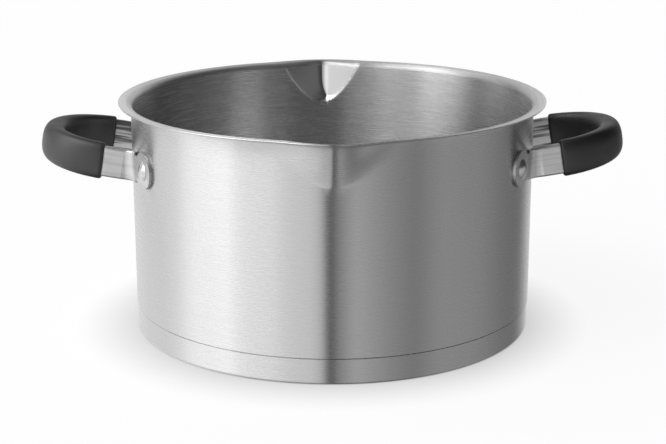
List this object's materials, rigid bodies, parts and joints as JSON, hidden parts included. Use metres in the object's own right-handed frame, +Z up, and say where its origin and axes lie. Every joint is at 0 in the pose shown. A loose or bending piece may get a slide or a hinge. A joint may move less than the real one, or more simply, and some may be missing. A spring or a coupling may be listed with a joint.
{
  "type": "cooking pot",
  "caption": "Stainless steel saucepot with a flared rim, pouring spouts front and back, a clad base and looped side handles in black silicone sleeves, without a lid",
  "frame": {"origin": "centre of the round resting face, on the surface that the pot stands on", "axes": "+Z up along the pot's axis, +X through the middle of the right handle, -Y towards the front spout"},
  "size_m": [0.3526, 0.2654, 0.139],
  "materials": {
    "brushed_steel": "satin, fine brushing round the body",
    "polished_steel": "polished, rounded edges",
    "aluminium_core": "plain rolled disc",
    "grip_silicone": "smooth matt silicone"
  },
  "bodies": {
    "root": {"pot_body": "brushed_steel", "base_cap": "brushed_steel", "base_core": "aluminium_core", "handle_strap_right": "polished_steel", "handle_strap_left": "polished_steel", "handle_studs_right": "polished_steel", "handle_studs_left": "polished_steel", "grip_right": "grip_silicone", "grip_left": "grip_silicone"}
  },
  "joints": []
}
